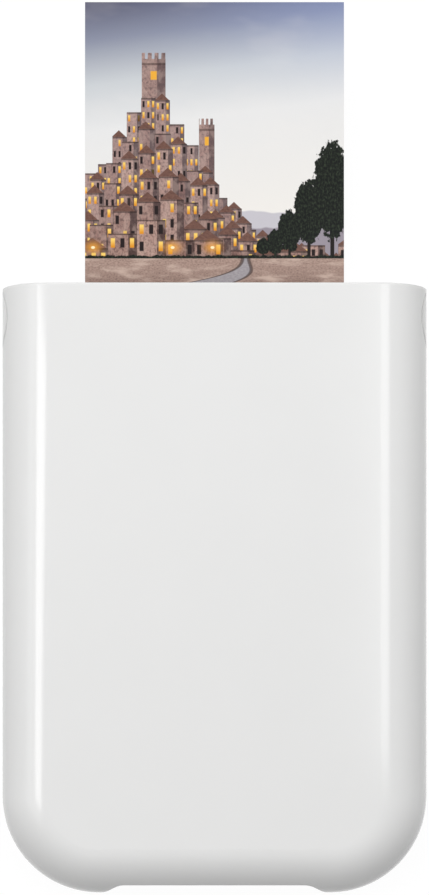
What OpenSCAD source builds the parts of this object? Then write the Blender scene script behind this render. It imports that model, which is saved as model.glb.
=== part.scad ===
// Compact photo printer, lying on its underside.
// X runs across the body, Y towards the head end, where pictures come out, and Z up.
// The origin is the centre of the flat underside.

/* [Body] */
// Width of the body across its rounded sides
body_w = 85.3; // [84:0.1:96]
// Length of the body from its tail to its head end
body_l = 121; // [120:0.5:133]
// Thickness of the body from the underside to the face of the cover
body_h = 22.3; // [22:0.1:26]
// Radius of the rounded sides and tail, seen end on
edge_r = 10; // [7:0.1:10.5]
// Radius of the two tail corners, seen from above
corner_r = 19.5; // [16:0.5:23]
// Wall thickness of the case and the cover
wall = 1.8; // [1.4:0.1:2]
// Gap along the seam between the case and the cover
seam = 0.3; // [0.2:0.05:0.5]

/* [Tail recess] */
// Width of the flat part of the recess that lets a fingertip lift the cover
recess_w = 36; // [34:0.5:38]
// Width of each sloping flank of the recess
recess_flank = 5.5; // [4:0.5:7]
// Depth of the recess
recess_d = 2.4; // [1.8:0.1:2.8]

/* [Cover hinge] */
// Distance of the hinge axis from the head end
hinge_in = 6; // [5.5:0.1:6.5]
// Radius of each hinge pin
pin_r = 1; // [0.7:0.05:1.3]
// Gap between the hinge arms and the gears beside them
arm_gap = 0.7; // [0.5:0.1:1.1]
// Width of each hinge arm along the pin
arm_t = 2.6; // [2:0.1:2.8]
// Radius of each hinge arm round its pin
arm_r = 3; // [2.4:0.1:3.2]

/* [Paper] */
// Width of a sheet
paper_w = 52.5; // [48:0.1:53]
// Length of a sheet
paper_l = 76.2; // [74:0.1:78]
// Thickness of a sheet
paper_t = 0.28; // [0.2:0.01:0.3]
// Number of sheets waiting in the tray
sheets = 9; // [1:1:10]
// Length of the printed sheet that has come out of the head end
print_out = 59; // [30:1:62]
// Height of the printed sheet's lower face above the underside
paper_z = 10; // [10:0.05:10.2]

/* [Rollers] */
// Radius of the platen roller
platen_r = 3.6; // [3.3:0.05:3.8]
// Distance of the platen roller's axis from the head end
platen_in = 15; // [14.6:0.1:15.2]
// Radius of the exit roller's tyres
exit_r = 2.6; // [2.3:0.05:2.8]
// Distance of the exit roller's axis from the head end
exit_in = 5.5; // [5.2:0.1:5.8]
// Radius of the pinch rollers
pinch_r = 1.8; // [1.5:0.05:2]
// Radius of the pick-up roller's tyres
pickup_r = 3.4; // [3.1:0.05:3.6]
// Distance of the pick-up roller's axis from the head end
pickup_in = 40; // [39.8:0.1:40.6]
// Gap between a roller and the sheet in its nip
nip = 0.03; // [0.02:0.01:0.05]

/* [Gears] */
// Module of all gears
gear_m = 0.4; // [0.38:0.01:0.41]
// Thickness of each gear
gear_t = 1.4; // [1:0.1:1.5]
// Play between the teeth of two gears in mesh
backlash = 0.08; // [0.05:0.01:0.12]
// Teeth of the motor pinion
pinion_n = 10; // [9:1:11]
// Teeth of the reduction gear's large wheel
reduction_n = 32; // [31:1:33]
// Teeth of the reduction gear's small wheel
reduction_small_n = 12; // [11:1:13]
// Teeth of the transfer gear
transfer_n = 13; // [13:1:15]
// Teeth of the platen gear
platen_n = 18; // [17:1:19]
// Teeth of the exit idler
exit_idler_n = 12; // [12:1:14]
// Teeth of the exit gear
exit_n = 13; // [12:1:14]
// Teeth of the pick-up idler
pickup_idler_n = 28; // [28:1:30]
// Teeth of the pick-up gear
pickup_n = 17; // [16:1:18]

/* [Frame] */
// Gap between the paper and the side plates
side_gap = 1.65; // [1.65:0.05:1.9]
// Thickness of the steel side plates
plate_t = 1.2; // [0.8:0.1:1.2]
// Thickness of the chassis floor
chassis_t = 1.2; // [1:0.1:1.4]
// Height of the paper rails above the chassis floor
rail_h = 5; // [4:0.1:6]
// Thickness of the paper rails
rail_t = 1; // [0.8:0.05:1.1]
// Radius of the motor and its gearbox
motor_r = 3; // [2.6:0.1:3.1]
// Length of the motor can
motor_l = 12; // [9:0.5:14]
// Length of the motor's gearbox
gearbox_l = 7.5; // [5:0.5:9]

/* [Print head] */
// Distance from the head's pivot rod to its line of heaters
head_reach = 8.5; // [8:0.1:9]
// Radius of the head's pivot rod
pivot_r = 1; // [0.8:0.05:1.1]
// Length of the heat sink along the paper path
sink_l = 7.8; // [7:0.1:8.2]
// Thickness of the heat sink
sink_t = 2.6; // [2:0.1:2.8]
// Thickness of the ceramic strip that carries the heaters
ceramic_t = 0.67; // [0.5:0.01:0.8]

/* [Electronics] */
// Gap between the battery and the main board
battery_gap = 4.2; // [3:0.1:9]
// Width of the battery
battery_w = 50; // [40:0.5:54]
// Thickness of the battery
battery_t = 5; // [4:0.1:5.6]
// Length of the main board along the body
board_l = 35; // [33:0.5:35.5]
// Width of the main board
board_w = 62; // [58:0.5:64]
// Thickness of the main board
board_t = 1; // [0.8:0.1:1.2]
// Height of the board's lower face above the underside
board_z = 5; // [4.6:0.1:5.2]
// Width of the power button
button_w = 9; // [7:0.1:9.6]
// Height of the power button
button_h = 4; // [3.4:0.1:4.2]
// Travel of the power button
button_travel = 0.3; // [0.2:0.05:0.3]

/* [Hidden] */
$fn = 48;
eps = 0.02;
far = 400;

// Clearances shared by many pieces
fit = 0.1;
run = 0.05;
slack = 0.2;

// Driving places
head_y = body_l / 2;
tail_y = -head_y;
mid_z = body_h / 2;
hinge_y = head_y - hinge_in;
hinge_z = mid_z;
case_top = mid_z - seam / 2;
cover_low = mid_z + seam / 2;
inner_z = body_h - wall;
root_z = body_h - wall / 2;
dock_y = tail_y + recess_d;
dock_in_y = dock_y + wall;
backing_side = 1;

// Paper path: the printed sheet, the stack, the rails and the gate
floor_z = paper_z - fit;
deck_z = floor_z - chassis_t;
paper_top = paper_z + paper_t;
stack_gap = 0.12;
stack_z = paper_top + stack_gap;
stack_top = stack_z + sheets * paper_t;
plate_in = paper_w / 2 + side_gap;
plate_out = plate_in + plate_t;
rail_gap = 0.45;
rail_in = paper_w / 2 + rail_gap;
rail_out = plate_in - fit;
rail_top = floor_z + rail_h;
gate_in = 27.4;
gate_t = 1.2;
gate_gap = 0.7;
gate_lift = 0.03;
gate_y = head_y - gate_in;
stack_head_y = gate_y - gate_gap;
stop_y = stack_head_y - paper_l - slack;
stop_t = 1.2;
stop_x = [13, 19.5];
sill_z = deck_z - fit;

// Exit bezel
bezel_y = head_y - wall - slack;
bezel_side = 2.4;
bezel_back = 0.2;
slot_side = 0.6;
slot_down = 0.7;
slot_up = 1.1;
slot_low = floor_z - slot_down;
slot_high = paper_top + slot_up;
tab_t = 1.2;
tab_l = 4;
tab_up = [2.4, 5];
tab_z = [mid_z + tab_up[0], mid_z + tab_up[1]];

// Gear planes
plane_gap = 0.2;
plane_1 = -(plate_out + plane_gap);
plane_2 = plane_1 - gear_t - plane_gap;
gear_end = plane_2 - gear_t;
gear_plate_x = gear_end - plane_gap;
gear_plate_t = 0.8;

// Hinge
arm_in = -gear_end + arm_gap;
arm_play = 0.4;
ear_r = hinge_in;
ear_in = arm_in + arm_t + arm_play;
ear_boss_r = 3.2;
pin_share = 0.54;
pin_x0 = arm_in - slack;
pin_x1 = ear_in + pin_share * (body_w / 2 - ear_in);
groove_in = 1.2;
groove_x = ear_in + groove_in;
groove_turn = 45;
sweep_gap = 0.35;
sweep_r = inner_z - hinge_z - sweep_gap;

// Lip of the case inside the cover's skirt
lip_t = 0.8;
lip_up = 1.4;
lip_end = 2;

// Roller axes, as [y, z], shafts, tyres and bushes
platen_at = [head_y - platen_in, paper_z - nip - platen_r];
exit_at = [head_y - exit_in, paper_z - nip - exit_r];
pinch_at = [head_y - exit_in, paper_top + nip + pinch_r];
pickup_nip = 0.05;
pickup_at = [head_y - pickup_in, paper_z - pickup_nip - pickup_r];
platen_shaft_r = 1.5;
exit_shaft_r = 1;
pinch_shaft_r = 0.75;
pickup_shaft_r = 1.2;
shaft_end = 0.8;
exit_tyre_x = [-17, 0, 17];
exit_tyre_w = 8;
pickup_tyre_x = [-12, 12];
pickup_tyre_w = 12;
roller_end = 0.9;
roller_half = plate_in - roller_end;
bush_t = 0.9;
flange_t = 0.5;
platen_flange = 1.6;
exit_flange = 1.4;
pickup_flange = 1.5;
window_gap = 0.5;
window_x = pickup_tyre_x[1] + pickup_tyre_w / 2 + 2 * window_gap;

// Side plates and their feet
plate_tail = 47.4;
plate_z0 = 3.2;
plate_slope = 5;
plate_low_up = 3.5;
plate_low_top = paper_z + plate_low_up;
plate_y0 = head_y - plate_tail;
plate_y1 = bezel_y - fit;
plate_chamfer = [2, 1.7];
foot_gap = 5.7;
foot_l = 2.8;
foot_y = [plate_y0 + foot_l / 2, platen_at[0] - foot_gap];
foot_in = 7.35;
foot_edge = 5.45;
foot_x = body_w / 2 - foot_in;
foot_reach = body_w / 2 - foot_edge;
foot_post_r = 2.2;
foot_bore = 0.4;

// Chassis and its posts
deck_x = 38;
deck_side = 1.1;
deck_in = 3;
deck_gap = 0.5;
deck_y0 = stop_y + deck_in;
deck_y1 = plate_y0 - deck_gap;
floor_gap = 0.4;
floor_y1 = platen_at[0] - platen_r - floor_gap;
post_x = 34;
post_in = [96, 53];
post_at = [for (d = post_in) [post_x, head_y - d]];
post_r = 2.4;
post_bore = 4.5;
sunk = 0.5;

// Screws
screw_r = 0.8;
screw_head_r = 1.5;
screw_head_h = 0.8;
screw_l = 4;
hole_play = 0.1;
screw_tip = 0.3;

// Print head
heat_y = platen_at[0];
pivot_up = 2.9;
pivot_at = [heat_y - head_reach, paper_top + pivot_up];
ceramic_z = paper_top + run;
ceramic_half = 3.2;
sink_z = ceramic_z + ceramic_t;
bracket_z = sink_z + sink_t;
bracket_t = 0.8;
bracket_top = bracket_z + bracket_t;
bracket_gap = 0.3;
bracket_x = rail_in - bracket_gap;
bracket_tail = 1.8;
cheek_t = 1.2;
head_end = 0.7;
head_x = plate_in - head_end;
head_spring_x = [-12, 12];
head_spring_r = 1.7;
head_spring_turns = 3;
head_screw_x = [-20, 20];
head_screw_end = 0.8;
sink_floor = 0.6;

// Bridge between the side plates
bridge_up = 2.8;
bridge_t = 1;
bridge_half = 3.5;
bridge_lip = 0.8;
bridge_z = bracket_top + bridge_up;
plate_top = bridge_z + bridge_t;
bridge_y = [heat_y - bridge_half, heat_y + bridge_half];

// Pinch springs
leaf_x = [22.5, 25];
leaf_t = 0.3;
leaf_foot = 0.6;
leaf_toe = 1;

// Exit guide
guide_t = 1.1;

// Gear axes, as [y, z]
pressure = 20;
addendum = 0.9;
dedendum = 1.2;
train_in = 24.65;
train_up = 1.25;
motor_up = 0.5;
reduction_at = [head_y - train_in, mid_z + train_up];
motor_at = below(reduction_at, wall + motor_up + motor_r, pitch(pinion_n, reduction_n));
transfer_at = meet(reduction_at, platen_at, pitch(reduction_small_n, transfer_n),
                   pitch(transfer_n, platen_n));
pickup_idler_at = meet(pickup_at, reduction_at, pitch(pickup_n, pickup_idler_n),
                       pitch(pickup_idler_n, reduction_small_n));
exit_idler_at = meet(platen_at, exit_at, pitch(platen_n, exit_idler_n),
                     pitch(exit_idler_n, exit_n));
axle_r = 0.8;
hub_in = 0.5;
motor_shaft_r = 0.5;
motor_neck_r = 1.5;
motor_cap = [1, 0.8];
spacer_tail = [2.5, 1.3];
spacer_head = [1, 5];
spacer_at = [[pickup_at[0] - spacer_tail[0], plate_low_top - spacer_tail[1]],
             [platen_at[0] + spacer_head[0], paper_z + spacer_head[1]]];
spacer_r = 1.4;
spacer_screw_r = 0.6;
saddle_t = 1.5;
saddle_in = 2;
saddle_side = 0.6;

// Turn of each gear at rest, so that every pair is in mesh
reduction_turn = 0;
pinion_turn = in_mesh(reduction_at, reduction_n, reduction_turn, motor_at, pinion_n);
transfer_turn = in_mesh(reduction_at, reduction_small_n, reduction_turn, transfer_at, transfer_n);
platen_turn = in_mesh(transfer_at, transfer_n, transfer_turn, platen_at, platen_n);
exit_idler_turn = in_mesh(platen_at, platen_n, platen_turn, exit_idler_at, exit_idler_n);
exit_turn = in_mesh(exit_idler_at, exit_idler_n, exit_idler_turn, exit_at, exit_n);
pickup_idler_turn = in_mesh(reduction_at, reduction_small_n, reduction_turn,
                            pickup_idler_at, pickup_idler_n);
pickup_turn = in_mesh(pickup_idler_at, pickup_idler_n, pickup_idler_turn, pickup_at, pickup_n);

// Pressure plate, its springs and its hooks
press_gap = 0.05;
press_t = 0.8;
press_side = 3.5;
press_lip = 2.4;
press_z = stack_top + press_gap;
press_x = rail_in - press_side;
press_in = [98, 36];
press_y = [for (d = press_in) head_y - d];
press_end_w = 6;
press_spring_x = 14;
press_spring_in = [88, 46];
press_spring_y = [for (d = press_spring_in) head_y - d];
press_spring_r = 2;
press_spring_turns = 5;
spring_wire = 0.4;
spring_post_r = 1.3;
spring_post_l = 3;
hook_w = 3;
hook_t = 1.2;
hook_gap = 0.4;
hook_catch = 1.6;
hook_up = 2.2;
hook_z = press_z + hook_up;
hook_nose = 0.8;
hook_side = 0.6;
hook_play = [1.1, 2];
hook_frame = 1.4;

// Cover fittings
tongue_in = 2;
tongue_w = 4;
tongue_t = 1.3;
tongue_up = 3;
tongue_down = 2;
tongue_gap = 0.15;
rib_x = body_w / 2 - edge_r - wall;
rib_t = 1;
rib_h = 0.8;
rib_in = [14, 74, 60];
rib_y = [tail_y + rib_in[0], head_y - rib_in[1], head_y - rib_in[2]];
magnet_x = 33.5;
magnet_in = 82;
magnet_at = [magnet_x, head_y - magnet_in];
magnet_r = 2;
magnet_h = 2;
magnet_wall = 0.8;
magnet_up = 3;
magnet_z = floor_z + magnet_up;

// Separation pad
pad_half = 5;
pad_t = 1.2;
pad_h = 2.6;

// Battery and its fence
battery_half = battery_w / 2;
battery_end = 2.6;
battery_y1 = pickup_at[0] - pickup_r - battery_end;
fence_t = 1;
fence_h = 2;

// Main board, chips as [x, y, width, length, height], sockets and wires
board_top = board_z + board_t;
board_in = 1.7;
board_side = 0.8;
board_y0 = dock_in_y + board_in;
board_post = [[25, 31], [21, 4]];
board_post_at = [for (b = board_post) [b[0], board_y0 + b[1]]];
board_post_r = 2;
board_bore = 3;
board_screw_in = 2.8;
battery_y0 = board_y0 + board_l + battery_gap;
chips = [
  [-12, 15, 8, 8, 1], [1, 17, 6, 5, 0.9], [11, 12, 7, 7, 1], [-23, 8, 5, 5, 2],
  [-26, 17, 11, 9, 1.6], [9, 22, 4, 3, 1.2], [16, 24, 4, 3, 1.2]
];
lamp = [1.6, 1.2, 1.9];
plug_x = [-19, -13];
plug_h = 1.8;
flex_x = [-4, 12];
flex_h = 1.5;
flex_wall = 1;
flex_mouth = [0.5, 1];
socket_in = 5;
socket_l = 4;
wire_r = 0.4;
wire_up = 0.6;
wire_gap = 2;

// Tail controls, on the recess
usb_x = 8;
usb_w = 7.5;
usb_h = 2.6;
usb_l = 5;
usb_t = 0.3;
usb_corner = 0.5;
usb_in = 0.5;
usb_play = 0.4;
usb_z = board_top + run;
usb_blade = [3.6, 0.6];
usb_blade_up = 0.35;
usb_blade_in = 1.2;
dock_z = usb_z + usb_h / 2;
button_x = -7;
button_out = 0.4;
button_play = 0.2;
button_flange = [0.8, 0.7];
button_flange_t = 0.8;
pocket_play = [0.6, 0.4];
pocket_d = 3;
led_x = -15;
light_r = 1;
light_flange = 0.5;
light_flange_t = 0.8;
light_in = 1.4;
reset_x = 15.2;
reset_r = 0.6;
key_half = 3;
key_up = 1.3;
key_stem_r = 0.8;
key_gap = 0.05;
reset_gap = 0.4;

// Sensors
cover_sensor = [4, 3, 1.2];
paper_sensor = [4, 3, 1.4];
paper_sensor_x = 8;
paper_sensor_in = 3.2;

// ---------------------------------------------------------------- functions

// Distance between the axes of two gears in mesh
function pitch(a, b) = gear_m * (a + b) / 2;

// The point at height z and distance d from p, on its tail side
function below(p, z, d) = [p[0] - sqrt(max(0, d * d - (p[1] - z) * (p[1] - z))), z];

// The point above the line from p to q, at distance a from p and b from q
function meet(p, q, a, b) =
  let (d = norm(q - p), u = (q - p) / d, k = (a * a - b * b + d * d) / (2 * d),
       h = sqrt(max(0, a * a - k * k)), up = u[0] > 0 ? 1 : -1)
  p + k * u + up * h * [-u[1], u[0]];

// Turn that puts gear b's gap where gear a has a tooth
function in_mesh(pa, na, turn_a, pb, nb) =
  let (t = atan2(pb[1] - pa[1], pb[0] - pa[0]), u = (t - turn_a) * na / 360)
  t + 180 - (0.5 - u) * 360 / nb;

function involute(a) = tan(a) * 180 / PI - a;

// Half of a tooth's angle at radius r
function tooth_half(n, r) =
  let (rp = n * gear_m / 2, rb = rp * cos(pressure), a = acos(min(1, rb / r)))
  90 / n - backlash / 4 / rp * 180 / PI + involute(pressure) - involute(a);

function polar(r, a) = [r * cos(a), r * sin(a)];

// Outline of a gear with n involute teeth, with a tooth centred on the angle 0
function gear_outline(n) =
  let (rp = n * gear_m / 2, rb = rp * cos(pressure), ra = rp + addendum * gear_m,
       rf = rp - dedendum * gear_m, r0 = max(rb, rf) + eps, steps = 3,
       rs = [for (k = [0:steps]) r0 + (ra - r0) * k / steps],
       root_half = tooth_half(n, r0) * (rb > rf ? 0.9 : 1.1))
  [for (i = [0:n - 1]) let (a = 360 / n * i) each concat(
    [polar(rf, a - root_half)],
    [for (r = rs) polar(r, a - tooth_half(n, r))],
    [for (k = [steps:-1:0]) polar(rs[k], a + tooth_half(n, rs[k]))],
    [polar(rf, a + root_half)]
  )];

// Depth profile of the tail recess, from its flat (t = 0) to its outer edge (t = 1)
function recess_y(t) = tail_y + recess_d * (1 + cos(180 * t)) / 2;

// ---------------------------------------------------------------- shapes

// A box given by its two ends on each axis
module block(x, y, z) {
  translate([x[0], y[0], z[0]]) cube([x[1] - x[0], y[1] - y[0], z[1] - z[0]]);
}

// The same box on both sides of the centre line
module block_pair(x, y, z) {
  block(x, y, z);
  block([-x[1], -x[0]], y, z);
}

// Extrudes an outline drawn in Y and Z along X
module along_x(x0, x1) {
  translate([x0, 0, 0]) rotate([90, 0, 90]) linear_extrude(x1 - x0) children();
}

// Extrudes an outline drawn in X and Z along Y
module along_y(y0, y1) {
  translate([0, y1, 0]) rotate([90, 0, 0]) linear_extrude(y1 - y0) children();
}

// A round bar along X through the point [y, z]
module bar(at, r, x0, x1) {
  translate([x0, at[0], at[1]]) rotate([0, 90, 0]) cylinder(r = r, h = x1 - x0);
}

// A ring along X
module ring(at, r, bore, x0, x1) {
  difference() {
    bar(at, r, x0, x1);
    bar(at, bore, x0 - 1, x1 + 1);
  }
}

// An upright cylinder between two heights
module post(at, r, z0, z1) {
  translate([at[0], at[1], z0]) cylinder(r = r, h = z1 - z0);
}

module both_sides() {
  children();
  mirror([1, 0, 0]) children();
}

// Rounded rectangle centred on the origin
module section(w, h, r) {
  square([w - 2 * r, h], center = true);
  square([w, h - 2 * r], center = true);
  for (x = [-1, 1], y = [-1, 1])
    translate([x * (w / 2 - r), y * (h / 2 - r)]) circle(r);
}

// The half of a rounded rectangle on the right of the axis, w wide
module half_section(w, h, r) {
  intersection() {
    section(2 * w, h, r);
    translate([0, -h]) square([w, 2 * h]);
  }
}

// The body's outer form, drawn in by inset and cut square at y = head
module slab(inset, head) {
  w = body_w - 2 * inset;
  h = body_h - 2 * inset;
  r = edge_r - inset;
  cr = corner_r - inset;
  cx = body_w / 2 - corner_r;
  cy = tail_y + corner_r;
  translate([0, 0, mid_z]) {
    translate([0, head, 0]) rotate([90, 0, 0]) linear_extrude(head - cy) section(w, h, r);
    translate([-cx, cy, 0]) rotate([90, 0, 90]) linear_extrude(2 * cx)
      mirror([1, 0]) half_section(cr, h, r);
    both_sides() translate([cx, cy, 0]) rotate([0, 0, -90])
      rotate_extrude(angle = 90) half_section(cr, h, r);
  }
}

// The skin of the body, open at the head end, between two heights
module skin(z0, z1) {
  intersection() {
    difference() {
      slab(0, head_y);
      slab(wall, head_y + 1);
    }
    block([-far, far], [-far, far], [z0, z1]);
  }
}

// Wall behind the tail recess, between two heights
module recess_backing(z0, z1) {
  x = recess_w / 2 + recess_flank + backing_side;
  intersection() {
    slab(0, head_y);
    block([-x, x], [tail_y - 1, dock_in_y], [z0, z1]);
  }
}

// What the tail recess takes away
module recess_cut() {
  steps = 8;
  xs = [for (k = [0:steps]) recess_w / 2 + recess_flank * k / steps];
  ys = [for (k = [0:steps]) recess_y(k / steps)];
  outline = concat(
    [for (k = [steps:-1:0]) [-xs[k], ys[k]]],
    [for (k = [0:steps]) [xs[k], ys[k]]],
    [[xs[steps], tail_y - 5], [-xs[steps], tail_y - 5]]
  );
  translate([0, 0, -1]) linear_extrude(body_h + 2) polygon(outline);
}

// A slot with round ends, w wide and h high
module pill(w, h) {
  square([w - h, h], center = true);
  for (s = [-1, 1]) translate([s * (w - h) / 2, 0]) circle(h / 2);
}

// A spur gear along X, with its bore
module gear(at, n, turn, bore, x0) {
  difference() {
    along_x(x0 - gear_t, x0) translate(at) rotate(turn) polygon(gear_outline(n));
    bar(at, bore, x0 - gear_t - 1, x0 + 1);
  }
}

// A pan-head screw whose head rests at the origin and whose shank runs down
module screw(shank, l) {
  cylinder(r = screw_head_r, h = screw_head_h);
  translate([0, 0, -l]) cylinder(r = shank, h = l);
}

// A coil spring standing on the origin
module coil(r, wire, h, turns) {
  sides = 6;
  per_turn = 10;
  n = turns * per_turn;
  points = [
    for (i = [0:n]) let (a = 360 * i / per_turn, z = wire / 2 + (h - wire) * i / n)
      for (k = [0:sides - 1]) let (b = 360 * k / sides + 30, q = r + wire / 2 * cos(b))
        [q * cos(a), q * sin(a), z + wire / 2 * sin(b)]
  ];
  quads = [
    for (i = [0:n - 1], k = [0:sides - 1]) let (k1 = (k + 1) % sides)
      [i * sides + k, i * sides + k1, (i + 1) * sides + k1, (i + 1) * sides + k]
  ];
  first_cap = [for (k = [sides - 1:-1:0]) k];
  last_cap = [for (k = [0:sides - 1]) n * sides + k];
  polyhedron(points, concat(quads, [first_cap, last_cap]));
}

// ---------------------------------------------------------------- casing

// Hinge ears of the case: a disc of the skin and a boss for the pin on each side
module hinge_ears() {
  intersection() {
    union() {
      skin(0, body_h);
      intersection() {
        slab(wall / 2, head_y);
        both_sides() bar([hinge_y, hinge_z], ear_boss_r, ear_in, body_w / 2);
      }
    }
    both_sides() bar([hinge_y, hinge_z], ear_r, ear_in, body_w / 2 + 1);
  }
}

// Room in front of each ear for the cover's corner as it swings down
module hinge_grooves() {
  z0 = hinge_z - ear_r * sin(groove_turn);
  both_sides() difference() {
    block([groove_x, far], [hinge_y, far], [z0, hinge_z + pin_r]);
    bar([hinge_y, hinge_z], ear_r, groove_x - 1, far);
  }
}

// Lip that rises inside the cover's skirt and keeps it in line
module case_lip() {
  recess_x = recess_w / 2 + recess_flank + lip_end;
  intersection() {
    union() {
      difference() {
        slab(wall - fit, head_y);
        slab(wall + seam + lip_t, head_y + 1);
        block([-far, far], [-far, far], [case_top - eps, far]);
      }
      difference() {
        slab(wall + seam, head_y);
        slab(wall + seam + lip_t, head_y + 1);
      }
    }
    difference() {
      block([-far, far], [-far, plate_y0 - lip_end], [case_top - wall, case_top + lip_up]);
      block([-recess_x, recess_x], [-far, tail_y + corner_r], [0, body_h]);
    }
  }
}

module bottom_case() {
  color("whitesmoke") difference() {
    union() {
      skin(0, case_top);
      recess_backing(0, case_top);
      hinge_ears();
      case_lip();
      intersection() {
        slab(0, head_y);
        block([-far, far], [head_y - wall, far], [0, sill_z]);
      }
      case_posts();
      battery_fence();
      motor_cradle();
    }
    recess_cut();
    hinge_grooves();
    both_sides() bar([hinge_y, hinge_z], pin_r + eps, ear_in - 1, pin_x1 + fit);
    both_sides() for (p = post_at) post(p, screw_r, deck_z - post_bore, far);
    both_sides() for (y = foot_y) post([foot_x, y], screw_r, wall - foot_bore, far);
    both_sides() for (p = board_post_at) post(p, screw_r, board_z - board_bore, far);
    dock_bore(button_x) pill(button_w + 2 * button_play, button_h + 2 * button_play);
    dock_bore(usb_x) section(usb_w + 2 * usb_play, usb_h + 2 * usb_play, usb_corner + fit);
    dock_bore(led_x) circle(light_r + run);
    dock_bore(reset_x) circle(reset_r);
    button_pocket();
  }
}

// A hole of the given outline through the tail wall
module dock_bore(x) {
  translate([x, 0, dock_z]) along_y(tail_y - 1, dock_in_y + 1) children();
}

// Flat pocket in the tail wall that the button's flange rests in
module button_pocket() {
  x = button_w / 2 + button_flange[0] + pocket_play[0];
  z = button_h / 2 + button_flange[1] + pocket_play[1];
  block([button_x - x, button_x + x], [dock_in_y, dock_in_y + pocket_d],
        [dock_z - z, case_top + 1]);
}

// Posts for the chassis, the side plates' feet and the main board
module case_posts() {
  intersection() {
    slab(wall / 2, head_y);
    both_sides() union() {
      for (p = post_at) post(p, post_r, 0, deck_z);
      for (y = foot_y) post([foot_x, y], foot_post_r, 0, plate_z0);
      for (p = board_post_at) post(p, board_post_r, 0, board_z);
    }
  }
}

// Low fence round the battery
module battery_fence() {
  x = battery_half + slack;
  y0 = battery_y0 - slack;
  y1 = battery_y1 + slack;
  difference() {
    block([-x - fence_t, x + fence_t], [y0 - fence_t, y1 + fence_t], [wall - slack, wall + fence_h]);
    block([-x, x], [y0, y1], [0, far]);
  }
}

// Two saddles that the motor lies in
module motor_cradle() {
  side = motor_r + saddle_side;
  x0 = -plate_in + gearbox_l + saddle_in;
  x1 = -plate_in + gearbox_l + motor_l - saddle_in - saddle_t;
  difference() {
    for (x = [x0, x1])
      block([x, x + saddle_t], [motor_at[0] - side, motor_at[0] + side],
            [wall - slack, motor_at[1] - saddle_side]);
    bar(motor_at, motor_r + run, -far, far);
  }
}

module top_cover() {
  color("white") difference() {
    union() {
      difference() {
        union() {
          skin(cover_low, body_h);
          recess_backing(cover_low, root_z);
        }
        both_sides() bar([hinge_y, hinge_z], ear_r + seam, ear_in - slack, far);
      }
      hinge_arms();
      cover_tongues();
      cover_hooks();
      cover_ribs();
      for (x = [-press_spring_x, press_spring_x], y = press_spring_y)
        post([x, y], spring_post_r, inner_z - spring_post_l, root_z);
      post(magnet_at, magnet_r + magnet_wall, magnet_z + magnet_h, root_z);
    }
    recess_cut();
    both_sides() bar([hinge_y, hinge_z], pin_r + run + eps, arm_in - 1, arm_in + arm_t + 1);
  }
}

// Arms that hang from the cover and turn on the hinge pins
module hinge_arms() {
  intersection() {
    both_sides() union() {
      bar([hinge_y, hinge_z], arm_r, arm_in, arm_in + arm_t);
      block([arm_in, arm_in + arm_t], [hinge_y - arm_r, hinge_y + arm_r], [hinge_z, body_h]);
    }
    slab(wall / 2, head_y);
  }
}

// Tongues that slip inside the case's tail wall and hold the cover shut by friction
module cover_tongues() {
  x0 = recess_w / 2 + tongue_in;
  x1 = x0 + tongue_w;
  y1 = dock_in_y + tongue_t;
  top = cover_low + tongue_up;
  both_sides() {
    block([x0, x1], [dock_in_y - seam, y1], [cover_low, top]);
    block([x0, x1], [dock_in_y + tongue_gap, y1], [case_top - tongue_down, top]);
  }
}

// Hooks that reach through the pressure plate's end flanges and carry it
module cover_hooks() {
  for (s = [0, 1]) {
    y = press_y[s];
    d = s == 1 ? 1 : -1;
    arm = [y + d * hook_gap, y + d * (hook_gap + hook_t)];
    nose = [y - d * hook_catch, y + d * (hook_gap + hook_t / 2)];
    block([-hook_w, hook_w], [min(arm), max(arm)], [hook_z, root_z]);
    block([-hook_w, hook_w], [min(nose), max(nose)], [hook_z, hook_z + hook_nose]);
  }
}

// Stiffening ribs under the face of the cover
module cover_ribs() {
  for (y = rib_y)
    block([-rib_x, rib_x], [y, y + rib_t], [inner_z - rib_h, root_z]);
}

// Front panel with the slot that pictures come out of, kept inside the cover's sweep
module exit_bezel() {
  x = plate_out + bezel_side;
  slot_x = rail_in + slot_side;
  color("dimgray") difference() {
    union() {
      intersection() {
        block([-x, x], [bezel_y, head_y - bezel_back], [sill_z, far]);
        union() {
          bar([hinge_y, hinge_z], sweep_r, -x, x);
          block([-x, x], [bezel_y, head_y], [0, hinge_z + 1]);
        }
      }
      block_pair([plate_out + eps, plate_out + tab_t], [bezel_y - tab_l, bezel_y + 1], tab_z);
    }
    block([-slot_x, slot_x], [bezel_y - 1, head_y + 1], [slot_low, slot_high]);
  }
}

module hinge_pins() {
  color("silver") both_sides() bar([hinge_y, hinge_z], pin_r, pin_x0, pin_x1);
}

// ---------------------------------------------------------------- tail controls

module power_button() {
  y = dock_in_y + fit;
  color("gainsboro") translate([button_x, 0, dock_z]) {
    along_y(dock_y - button_out, y + button_flange_t / 2) pill(button_w, button_h);
    along_y(y, y + button_flange_t)
      pill(button_w + 2 * button_flange[0], button_h + 2 * button_flange[1]);
  }
}

module led_light_pipe() {
  color("white") translate([led_x, 0, dock_z]) {
    along_y(dock_y, dock_in_y + light_in) circle(light_r);
    along_y(dock_in_y + eps, dock_in_y + light_flange_t) circle(light_r + light_flange);
  }
}

module usb_shell() {
  y = dock_y + usb_in;
  color("silver") translate([usb_x, 0, dock_z]) difference() {
    along_y(y, y + usb_l) section(usb_w, usb_h, usb_corner);
    along_y(y - 1, y + usb_l - usb_in)
      section(usb_w - 2 * usb_t, usb_h - 2 * usb_t, usb_corner - slack);
  }
}

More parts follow.
